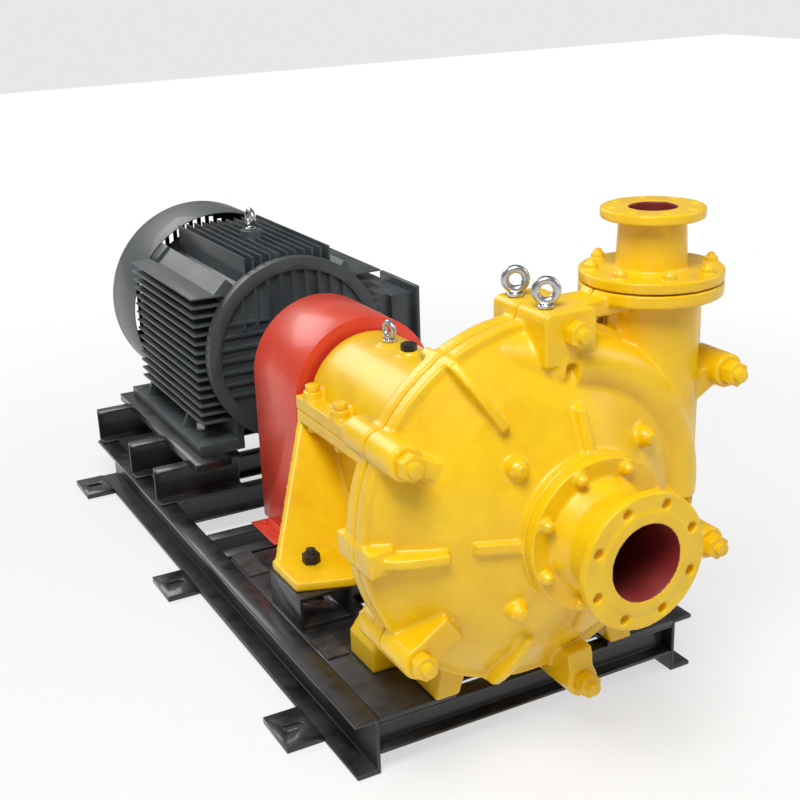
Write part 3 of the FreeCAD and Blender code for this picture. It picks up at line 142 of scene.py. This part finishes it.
def lineBore(piece, material, bore):
    # faces nearer to the bore's axis than its radius take the liner's finish
    mesh = piece.data
    centres = np.empty(len(mesh.polygons) * 3)
    mesh.polygons.foreach_get("center", centres)
    centres = centres.reshape(-1, 3)
    first, second = [k for k in range(3) if k != bore["along"]]
    low, high = (np.array(corner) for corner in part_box(bore["node"]))
    middle = (low + high) / 2
    away = np.hypot(centres[:, first] - middle[first], centres[:, second] - middle[second])
    mesh.materials.append(material)
    mesh.polygons.foreach_set("material_index", (away < bore["radius"]).astype(np.int32))


def castNode(node, material, voxel=0.004, passes=6):
    # the node as a casting: remeshed evenly and relaxed, so every corner gets a fillet
    mesh = cleanCopy(node, dissolve=False)
    mesh.materials.clear()
    mesh.materials.append(material)
    piece = bpy.data.objects.new(node + "_cast", mesh)
    scene.collection.objects.link(piece)
    remesh = piece.modifiers.new("remesh", "REMESH")
    remesh.mode = "VOXEL"
    remesh.voxel_size = voxel
    remesh.use_smooth_shade = True
    relax = piece.modifiers.new("relax", "SMOOTH")
    relax.factor = 0.5
    relax.iterations = passes
    applyModifiers(piece)
    piece.data.materials.clear()
    piece.data.materials.append(material)
    piece.data.shade_smooth()
    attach(piece, bodyOf[node])
    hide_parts(node)
    return piece


# shader groups

def newGroup(name, inputs, outputs):
    group = bpy.data.node_groups.new(name, "ShaderNodeTree")
    for label, kind, value in inputs:
        socket = group.interface.new_socket(name=label, in_out="INPUT", socket_type=kind)
        socket.default_value = value
    for label, kind in outputs:
        group.interface.new_socket(name=label, in_out="OUTPUT", socket_type=kind)
    start = group.nodes.new("NodeGroupInput")
    end = group.nodes.new("NodeGroupOutput")
    return group, start, end


def addNode(tree, kind, **values):
    node = tree.nodes.new(kind)
    for key, value in values.items():
        if hasattr(node, key):
            setattr(node, key, value)
        else:
            node.inputs[key.replace("_", " ")].default_value = value
    return node


def mathNode(tree, operation, first, second=0.5, clamp=False):
    node = tree.nodes.new("ShaderNodeMath")
    node.operation = operation
    node.use_clamp = clamp
    for socket, value in zip(node.inputs, (first, second)):
        if isinstance(value, (int, float)):
            socket.default_value = value
        else:
            tree.links.new(value, socket)
    return node.outputs[0]


def rampNode(tree, source, low, high):
    node = tree.nodes.new("ShaderNodeMapRange")
    node.inputs["From Min"].default_value = low
    node.inputs["From Max"].default_value = high
    tree.links.new(source, node.inputs["Value"])
    return node.outputs[0]


def noiseNode(tree, coordinates, scale, detail=4.0, roughness=0.55):
    node = addNode(tree, "ShaderNodeTexNoise", Detail=detail, Roughness=roughness)
    tree.links.new(coordinates, node.inputs["Vector"])
    if isinstance(scale, (int, float)):
        node.inputs["Scale"].default_value = scale
    else:
        tree.links.new(scale, node.inputs["Scale"])
    return node.outputs["Fac"]


def buildCastSkin():
    # uneven sand-cast surface: broad hollows, a finer grain and rare pits
    takes = [("Scale", "NodeSocketFloat", 1.0)]
    group, start, end = newGroup("castSkin", takes, [("Height", "NodeSocketFloat")])
    where = group.nodes.new("ShaderNodeTexCoord").outputs["Object"]
    broad = noiseNode(group, where, mathNode(group, "MULTIPLY", start.outputs["Scale"], 14.0), 3.0)
    grain = noiseNode(group, where, mathNode(group, "MULTIPLY", start.outputs["Scale"], 160.0), 3.0)
    pitScale = mathNode(group, "MULTIPLY", start.outputs["Scale"], 60.0)
    pits = rampNode(group, noiseNode(group, where, pitScale, 1.0), 0.33, 0.40)
    total = mathNode(group, "ADD", mathNode(group, "MULTIPLY", broad, 1.0),
                     mathNode(group, "MULTIPLY", grain, 0.16))
    total = mathNode(group, "ADD", total, mathNode(group, "MULTIPLY", pits, 0.10))
    group.links.new(total, end.inputs["Height"])
    return group


def buildEdgeWear():
    # 1 along convex and concave edges, broken up by noise
    takes = [("Radius", "NodeSocketFloat", 0.004), ("Scale", "NodeSocketFloat", 40.0)]
    group, start, end = newGroup("edgeWear", takes, [("Mask", "NodeSocketFloat")])
    bevelNode = addNode(group, "ShaderNodeBevel", samples=4)
    group.links.new(start.outputs["Radius"], bevelNode.inputs["Radius"])
    plain = group.nodes.new("ShaderNodeNewGeometry")
    dot = addNode(group, "ShaderNodeVectorMath", operation="DOT_PRODUCT")
    group.links.new(bevelNode.outputs["Normal"], dot.inputs[0])
    group.links.new(plain.outputs["Normal"], dot.inputs[1])
    edge = rampNode(group, mathNode(group, "SUBTRACT", 1.0, dot.outputs["Value"]), 0.015, 0.12)
    where = group.nodes.new("ShaderNodeTexCoord").outputs["Object"]
    broken = rampNode(group, noiseNode(group, where, start.outputs["Scale"], 5.0, 0.7), 0.45, 0.62)
    group.links.new(mathNode(group, "MULTIPLY", edge, broken, True), end.inputs["Mask"])
    return group


def buildDust():
    # pale dust that settles on faces turned up, in uneven patches
    takes = [("Amount", "NodeSocketFloat", 0.5), ("Scale", "NodeSocketFloat", 9.0)]
    group, start, end = newGroup("dust", takes, [("Mask", "NodeSocketFloat")])
    facing = group.nodes.new("ShaderNodeSeparateXYZ")
    group.links.new(group.nodes.new("ShaderNodeNewGeometry").outputs["Normal"], facing.inputs[0])
    where = group.nodes.new("ShaderNodeTexCoord").outputs["Object"]
    patches = rampNode(group, noiseNode(group, where, start.outputs["Scale"], 6.0, 0.65), 0.38, 0.70)
    upward = rampNode(group, facing.outputs["Z"], 0.35, 0.95)
    group.links.new(mathNode(group, "MULTIPLY", mathNode(group, "MULTIPLY", upward, patches),
                             start.outputs["Amount"], True), end.inputs["Mask"])
    return group


castSkin = buildCastSkin()
edgeWear = buildEdgeWear()
dust = buildDust()
print("shader groups built")


# materials

def newMaterial(name):
    material = bpy.data.materials.new(name)
    material.use_nodes = True
    tree = material.node_tree
    tree.nodes.clear()
    shader = tree.nodes.new("ShaderNodeBsdfPrincipled")
    output = tree.nodes.new("ShaderNodeOutputMaterial")
    tree.links.new(shader.outputs[0], output.inputs["Surface"])
    return material, tree, shader


def groupNode(tree, group, **values):
    node = tree.nodes.new("ShaderNodeGroup")
    node.node_tree = group
    for key, value in values.items():
        node.inputs[key].default_value = value
    return node


def mixColors(tree, mask, first, second):
    node = tree.nodes.new("ShaderNodeMix")
    node.data_type = "RGBA"
    for socket, value in zip((node.inputs["Factor"], node.inputs[6], node.inputs[7]), (mask, first, second)):
        if isinstance(value, (int, float)):
            socket.default_value = value
        elif isinstance(value, tuple):
            socket.default_value = (*value, 1.0)
        else:
            tree.links.new(value, socket)
    return node.outputs[2]


def bumpInto(tree, shader, height, strength, distance):
    bump = addNode(tree, "ShaderNodeBump", Strength=strength, Distance=distance)
    tree.links.new(height, bump.inputs["Height"])
    tree.links.new(bump.outputs[0], shader.inputs["Normal"])


def paintMaterial(name, look):
    # brushed enamel on a casting or plate: mottled colour, orange peel, worn edges and dust
    material, tree, shader = newMaterial(name)
    where = tree.nodes.new("ShaderNodeTexCoord").outputs["Object"]
    skin = groupNode(tree, castSkin, Scale=look["skinScale"])
    mottle = noiseNode(tree, where, look["mottleScale"], 5.0, 0.6)
    color = mixColors(tree, rampNode(tree, mottle, 0.30, 0.70), look["dark"], look["light"])
    worn = groupNode(tree, edgeWear, Radius=look["wearRadius"], Scale=look["wearScale"])
    color = mixColors(tree, mathNode(tree, "MULTIPLY", worn.outputs["Mask"], look["wear"]), color,
                      look["wornColor"])
    settled = groupNode(tree, dust, Amount=look["dust"], Scale=look["dustScale"])
    color = mixColors(tree, settled.outputs["Mask"], color, look["dustColor"])
    tree.links.new(color, shader.inputs["Base Color"])
    rough = mathNode(tree, "ADD", look["rough"], mathNode(tree, "MULTIPLY", mottle, look["roughVary"]))
    rough = mathNode(tree, "ADD", rough, mathNode(tree, "MULTIPLY", settled.outputs["Mask"], 0.4), True)
    tree.links.new(rough, shader.inputs["Roughness"])
    shader.inputs["Coat Weight"].default_value = look["coat"]
    shader.inputs["Coat Roughness"].default_value = 0.12
    peel = noiseNode(tree, where, look["peelScale"], 2.0)
    height = mathNode(tree, "ADD", skin.outputs["Height"], mathNode(tree, "MULTIPLY", peel, look["peel"]))
    bumpInto(tree, shader, height, look["bump"], look["bumpDepth"])
    return material


def metalMaterial(name, look):
    # bare or plated metal with fine turning lines and stains
    material, tree, shader = newMaterial(name)
    where = tree.nodes.new("ShaderNodeTexCoord").outputs["Object"]
    stretch = addNode(tree, "ShaderNodeMapping")
    stretch.inputs["Scale"].default_value = look["grain"]
    tree.links.new(where, stretch.inputs["Vector"])
    lines = noiseNode(tree, stretch.outputs[0], look["lineScale"], 3.0)
    stains = noiseNode(tree, where, look["stainScale"], 6.0, 0.65)
    color = mixColors(tree, rampNode(tree, stains, 0.40, 0.68), look["light"], look["dark"])
    tree.links.new(color, shader.inputs["Base Color"])
    shader.inputs["Metallic"].default_value = look["metallic"]
    rough = mathNode(tree, "ADD", look["rough"], mathNode(tree, "MULTIPLY", stains, look["roughVary"]), True)
    tree.links.new(rough, shader.inputs["Roughness"])
    bumpInto(tree, shader, mathNode(tree, "ADD", lines, stains), look["bump"], 0.0006)
    return material


yellowLook = {"dark": (0.78, 0.46, 0.0005), "light": (0.93, 0.60, 0.0008), "skinScale": 1.0,
              "mottleScale": 7.0, "wearRadius": 0.003, "wearScale": 55.0,
              "wear": 0.25, "wornColor": (0.45, 0.27, 0.01), "dust": 0.05, "dustScale": 8.0,
              "dustColor": (0.80, 0.58, 0.08), "rough": 0.28, "roughVary": 0.16,
              "coat": 0.18, "peelScale": 420.0, "peel": 0.10, "bump": 0.35, "bumpDepth": 0.004}
redLook = dict(yellowLook, dark=(0.62, 0.045, 0.018), light=(0.78, 0.062, 0.026),
               wornColor=(0.35, 0.04, 0.02), dust=0.04, dustColor=(0.70, 0.20, 0.12), bump=0.12,
               bumpDepth=0.002)
motorLook = dict(yellowLook, dark=(0.030, 0.036, 0.040), light=(0.055, 0.064, 0.070),
                 wornColor=(0.14, 0.15, 0.16), wear=0.5, dust=0.35,
                 dustColor=(0.16, 0.17, 0.17), rough=0.38, coat=0.15, bump=0.4, bumpDepth=0.002)
coverLook = dict(motorLook, dark=(0.060, 0.068, 0.072), light=(0.095, 0.105, 0.112), bump=0.1)
baseLook = dict(yellowLook, dark=(0.006, 0.006, 0.008), light=(0.016, 0.016, 0.018),
                wornColor=(0.05, 0.045, 0.04), wear=0.7, dust=0.55,
                dustScale=14.0, dustColor=(0.055, 0.050, 0.045), rough=0.26, coat=0.4, bump=0.3,
                bumpDepth=0.002)
linerLook = dict(yellowLook, dark=(0.16, 0.012, 0.012), light=(0.26, 0.022, 0.020),
                 wornColor=(0.10, 0.03, 0.02), dust=0.2, dustColor=(0.30, 0.10, 0.07), rough=0.45, coat=0.1)
zincLook = {"light": (0.62, 0.63, 0.64), "dark": (0.34, 0.34, 0.34), "grain": (1.0, 1.0, 1.0),
            "lineScale": 300.0, "stainScale": 26.0, "metallic": 1.0,
            "rough": 0.18, "roughVary": 0.20, "bump": 0.15}
steelLook = dict(zincLook, light=(0.48, 0.48, 0.49), dark=(0.26, 0.25, 0.24), grain=(1.0, 24.0, 1.0),
                 rough=0.24)
blackLook = dict(zincLook, light=(0.020, 0.020, 0.022), dark=(0.045, 0.040, 0.036), metallic=0.6, rough=0.36)
ironLook = dict(zincLook, light=(0.075, 0.072, 0.070), dark=(0.035, 0.033, 0.032), metallic=0.7, rough=0.42)
shimLook = dict(zincLook, light=(0.16, 0.16, 0.16), dark=(0.07, 0.065, 0.06), metallic=0.8, rough=0.40,
                stainScale=18.0)
rubberLook = dict(zincLook, light=(0.012, 0.012, 0.012), dark=(0.028, 0.027, 0.026), metallic=0.0, rough=0.62)
packingLook = dict(zincLook, light=(0.42, 0.37, 0.25), dark=(0.24, 0.20, 0.12), metallic=0.0, rough=0.8,
                   bump=0.6, lineScale=180.0)

finishes = {
    "yellow_paint": paintMaterial("pumpYellow", yellowLook),
    "red_paint": paintMaterial("guardRed", redLook),
    "motor_paint": paintMaterial("motorSlate", motorLook),
    "cover_paint": paintMaterial("coverGrey", coverLook),
    "base_paint": paintMaterial("baseBlack", baseLook),
    "hard_iron": paintMaterial("linerMaroon", linerLook),
    "zinc_steel": metalMaterial("zincPlate", zincLook),
    "bright_steel": metalMaterial("turnedSteel", steelLook),
    "black_steel": metalMaterial("blackenedSteel", blackLook),
    "dark_iron": metalMaterial("machinedIron", ironLook),
    "shim_steel": metalMaterial("millPlate", shimLook),
    "gasket_rubber": metalMaterial("gasketRubber", rubberLook),
    "packing": metalMaterial("braidedPacking", packingLook),
    "fan_plastic": metalMaterial("fanPlastic", rubberLook),
}
slotOf = {part["node"]: part["material_slot"] for part in record["subparts"]}
for node, thing in frame["nodes"].items():
    thing.data.materials.clear()
    thing.data.materials.append(finishes[slotOf[node]])
print("materials on", len(frame["nodes"]), "nodes")


# pieces dressed from the nodes

castNodes = {"casing_front": 0.0042, "casing_rear": 0.0045, "bearing_bracket": 0.0045, "bearing_cap": 0.004,
             "suction_stub": 0.003, "discharge_stub": 0.003}
roundedNodes = {"motor_frame": 0.0016, "drive_end_shield": 0.002, "terminal_box": 0.006,
                "terminal_box_lid": 0.006, "fan_cover": 0.002,
                "coupling_guard": 0.0012, "base_rail_right": 0.003, "base_rail_left": 0.003,
                "base_crossmembers": 0.003, "foundation_tabs": 0.0015,
                "sole_plates": 0.001, "motor_risers": 0.002, "motor_slide_bars": 0.0015,
                "bracket_pedestals": 0.0015, "clamp_bolts": 0.0015,
                "cap_bolts": 0.001, "bracket_foot_bolts": 0.001, "motor_foot_bolts": 0.001, "gland": 0.0015,
                "bearing_end_covers": 0.0015,
                "pump_coupling_half": 0.0015, "motor_coupling_half": 0.0015, "breather_cap": 0.0008}
for node, voxel in castNodes.items():
    castNode(node, finishes[slotOf[node]], voxel)
linedBores = {"suction_stub_cast": {"node": "suction_stub", "along": 1, "radius": 0.0815},
              "discharge_stub_cast": {"node": "discharge_stub", "along": 2, "radius": 0.0515}}
for name, bore in linedBores.items():
    lineBore(bpy.data.objects[name], finishes["hard_iron"], bore)
print("castings relaxed")
for node, width in roundedNodes.items():
    dressNode(node, finishes[slotOf[node]], width)
print("plates and bolts rounded")


# lifting eyes

eyes = {"frontEye": {"foot": (-0.0300, -1.1360, 1.0050), "ring": 0.0215, "wire": 0.0085, "turn": 62.0},
        "rearEye": {"foot": (-0.0300, -1.0260, 1.0050), "ring": 0.0215, "wire": 0.0085, "turn": 62.0},
        "capEye": {"foot": (0.0000, -0.3980, 0.7410), "ring": 0.0190, "wire": 0.0070, "turn": 10.0},
        "motorEye": {"foot": (0.0000, 0.5050, 0.8700), "ring": 0.0230, "wire": 0.0085, "turn": 0.0}}
eyeCollar = {"radius": 0.0170, "height": 0.0080, "edge": 0.0015, "lift": 0.005}


def eyeRing(name, eye):
    # torus: p(u, v) = centre + (R + r cos v)(side cos u + up sin u) + r sin v normal
    turn = math.radians(eye["turn"])
    normal = np.array([math.cos(turn), math.sin(turn), 0.0])
    side = np.array([-math.sin(turn), math.cos(turn), 0.0])
    up = np.array([0.0, 0.0, 1.0])
    centre = np.array(eye["foot"]) + up * (eye["ring"] + eye["wire"] + eyeCollar["lift"])
    u = np.linspace(0, 2 * np.pi, 56, endpoint=False)[:, None, None]
    v = np.linspace(0, 2 * np.pi, 20, endpoint=False)[None, :, None]
    around = side * np.cos(u) + up * np.sin(u)
    points = centre + (eye["ring"] + eye["wire"] * np.cos(v)) * around + eye["wire"] * np.sin(v) * normal
    return meshPiece(name, points, gridFaces(56, 20, True, True), finishes["zinc_steel"],
                     bodyOf["lifting_eye_bolts"])


def eyeFoot(name, eye):
    # collar turned about the eye's upright axis: p(u, k) = foot + radius(k)(cos u, sin u) + height(k)
    edge, wide, tall = eyeCollar["edge"], eyeCollar["radius"], eyeCollar["height"]
    neck = eye["wire"] * 0.9
    outline = np.array([(0.0001, 0.0), (wide - edge, 0.0), (wide, edge), (wide, tall - edge),
                        (wide - edge, tall), (neck + 0.002, tall), (neck, tall + 0.003),
                        (0.0001, tall + 0.006)])
    u = np.linspace(0, 2 * np.pi, 40, endpoint=False)[:, None]
    points = np.stack([np.cos(u) * outline[:, 0], np.sin(u) * outline[:, 0],
                       np.ones_like(u) * outline[:, 1]], axis=2) + np.array(eye["foot"])
    return meshPiece(name, points, gridFaces(40, len(outline), True, False), finishes["zinc_steel"],
                     bodyOf["lifting_eye_bolts"])


for name, eye in eyes.items():
    for piece in (eyeRing(name, eye), eyeFoot(name + "Collar", eye)):
        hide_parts("lifting_eye_bolts")
print("lifting eyes turned")


# camera, floor and light

view = {"lens": 57.71, "sensor": 36.0, "place": (-1.4245, -3.160, 1.7005), "yaw": 0.4831, "pitch": 0.34548,
        "roll": -0.03513}


def aimCamera(values):
    yaw, pitch, roll = values["yaw"], values["pitch"], values["roll"]
    ahead = Vector((math.sin(yaw) * math.cos(pitch), math.cos(yaw) * math.cos(pitch), -math.sin(pitch)))
    side = Vector((math.cos(yaw), -math.sin(yaw), 0.0))
    above = side.cross(ahead)
    rolledSide = side * math.cos(roll) + above * math.sin(roll)
    rolledAbove = above * math.cos(roll) - side * math.sin(roll)
    lens = bpy.data.cameras.new("camera")
    lens.lens = values["lens"]
    lens.sensor_width = values["sensor"]
    camera = bpy.data.objects.new("camera", lens)
    turn = Matrix((rolledSide, rolledAbove, -ahead)).transposed().to_4x4()
    camera.matrix_world = Matrix.Translation(values["place"]) @ turn
    scene.collection.objects.link(camera)
    scene.camera = camera


def areaLamp(name, place, target, size, power):
    light = bpy.data.lights.new(name, "AREA")
    light.shape = "RECTANGLE"
    light.size, light.size_y = size
    light.energy = power
    lamp = bpy.data.objects.new(name, light)
    lamp.location = place
    lamp.rotation_euler = (Vector(target) - Vector(place)).to_track_quat("-Z", "Y").to_euler()
    scene.collection.objects.link(lamp)


floorLook = {"shade": 0.86, "rough": 0.85, "half": 14.0, "drop": 0.0005, "glow": 0.62, "whiteFrom": 1.3,
             "whiteAt": 3.0}


def floorSurface():
    # flat square, a little below the base
    material, tree, shader = newMaterial("paleFloor")
    shader.inputs["Base Color"].default_value = (*[floorLook["shade"]] * 3, 1.0)
    shader.inputs["Roughness"].default_value = floorLook["rough"]
    glow = addNode(tree, "ShaderNodeEmission", Strength=1.0)
    path = tree.nodes.new("ShaderNodeLightPath")
    output = [n for n in tree.nodes if n.type == "OUTPUT_MATERIAL"][0]
    mix = tree.nodes.new("ShaderNodeMixShader")
    seen = mathNode(tree, "MAXIMUM", path.outputs["Is Camera Ray"], path.outputs["Is Glossy Ray"], True)
    span = addNode(tree, "ShaderNodeVectorMath", operation="LENGTH")
    tree.links.new(tree.nodes.new("ShaderNodeTexCoord").outputs["Object"], span.inputs[0])
    away = rampNode(tree, span.outputs["Value"], floorLook["whiteFrom"],
                    floorLook["whiteAt"])  # plain white beyond the shadow
    rest = mathNode(tree, "MULTIPLY", away, 1.0 - floorLook["glow"])
    share = mathNode(tree, "ADD", rest, floorLook["glow"], True)
    part = mathNode(tree, "MULTIPLY", seen, share)
    tree.links.new(part, mix.inputs[0])
    tree.links.new(shader.outputs[0], mix.inputs[1])
    tree.links.new(glow.outputs[0], mix.inputs[2])
    tree.links.new(mix.outputs[0], output.inputs["Surface"])
    half = floorLook["half"]
    level = -floorLook["drop"]
    corners = [(-half, -half, level), (half, -half, level), (half, half, level), (-half, half, level)]
    mesh = bpy.data.meshes.new("floor")
    mesh.from_pydata(corners, [], [(0, 1, 2, 3)])
    mesh.materials.append(material)
    floor = bpy.data.objects.new("floor", mesh)
    scene.collection.objects.link(floor)


worldLook = {"light": 0.34, "seen": 1.0}


def studioWorld():
    world = bpy.data.worlds.new("studio")
    scene.world = world
    world.use_nodes = True
    tree = world.node_tree
    tree.nodes.clear()
    light = addNode(tree, "ShaderNodeBackground", Strength=worldLook["light"])
    white = addNode(tree, "ShaderNodeBackground", Strength=worldLook["seen"])
    path = tree.nodes.new("ShaderNodeLightPath")
    mix = tree.nodes.new("ShaderNodeMixShader")
    output = tree.nodes.new("ShaderNodeOutputWorld")
    seen = mathNode(tree, "MAXIMUM", path.outputs["Is Camera Ray"], path.outputs["Is Transmission Ray"], True)
    tree.links.new(seen, mix.inputs[0])
    tree.links.new(light.outputs[0], mix.inputs[1])
    tree.links.new(white.outputs[0], mix.inputs[2])
    tree.links.new(mix.outputs[0], output.inputs["Surface"])


aimCamera(view)
floorSurface()
studioWorld()
areaLamp("keyLamp", (-1.6, -2.6, 4.2), (0.0, -0.6, 0.5), (2.0, 2.0), 165.0)
areaLamp("fillLamp", (3.2, -2.4, 2.6), (0.0, -0.4, 0.5), (2.6, 2.0), 34.0)
areaLamp("backLamp", (-1.0, 3.6, 3.4), (0.0, 0.4, 0.6), (3.0, 2.0), 85.0)
scene.view_settings.view_transform = "Standard"
print("camera and lights placed")
